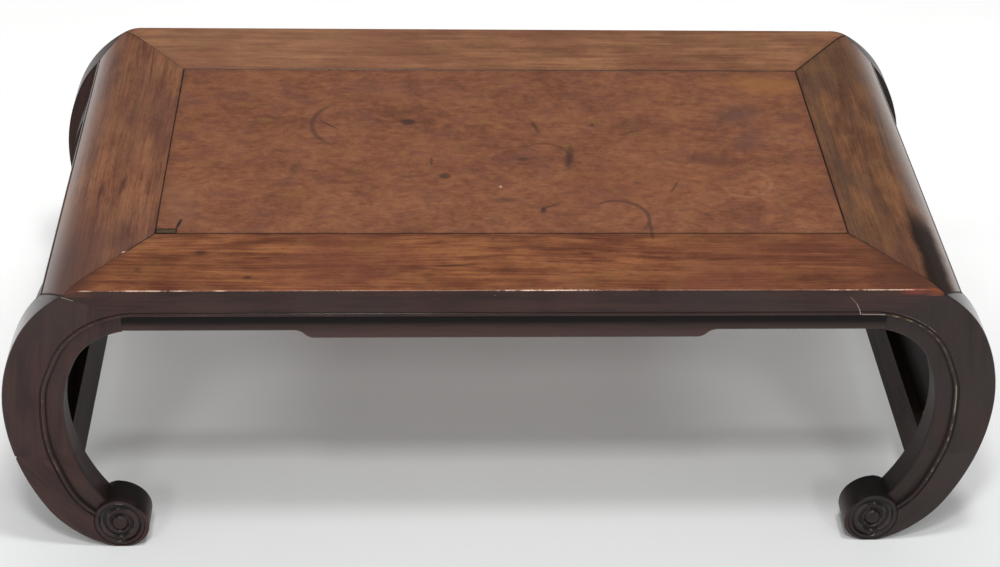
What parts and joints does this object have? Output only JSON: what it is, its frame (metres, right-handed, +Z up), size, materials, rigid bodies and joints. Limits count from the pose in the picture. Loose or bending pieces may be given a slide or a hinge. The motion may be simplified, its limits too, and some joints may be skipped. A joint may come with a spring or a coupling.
{
  "type": "kang table",
  "caption": "Low rectangular table with C-shaped legs that curl inward into scrolls, a mitred frame with a flush panel, stepped aprons and closed, curved, sunk ends.",
  "frame": {"origin": "middle of the footprint, on the floor under the four scrolls", "axes": "+X along the table to the right end, -Y the front, +Z up"},
  "size_m": [0.921, 0.474, 0.309],
  "materials": {
    "frame_wood": "worn, waxed reddish brown hardwood",
    "panel_wood": "worn, mottled burr wood",
    "inner_wood": "unpolished hardwood"
  },
  "bodies": {
    "root": {"front_rail": "frame_wood", "rear_rail": "frame_wood", "left_end_rail": "frame_wood", "right_end_rail": "frame_wood", "front_apron": "frame_wood", "rear_apron": "frame_wood", "left_end_apron": "frame_wood", "right_end_apron": "frame_wood", "front_left_leg": "frame_wood", "front_right_leg": "frame_wood", "rear_left_leg": "frame_wood", "rear_right_leg": "frame_wood", "front_left_foot": "frame_wood", "front_right_foot": "frame_wood", "rear_left_foot": "frame_wood", "rear_right_foot": "frame_wood", "left_front_stile": "frame_wood", "left_rear_stile": "frame_wood", "right_front_stile": "frame_wood", "right_rear_stile": "frame_wood", "left_end_panel": "frame_wood", "right_end_panel": "frame_wood", "left_base_rail": "frame_wood", "right_base_rail": "frame_wood", "top_panel": "panel_wood", "panel_patch": "panel_wood", "batten_left": "inner_wood", "batten_middle": "inner_wood", "batten_right": "inner_wood", "scarf_keys": "inner_wood", "frame_pins": "inner_wood"}
  },
  "joints": []
}
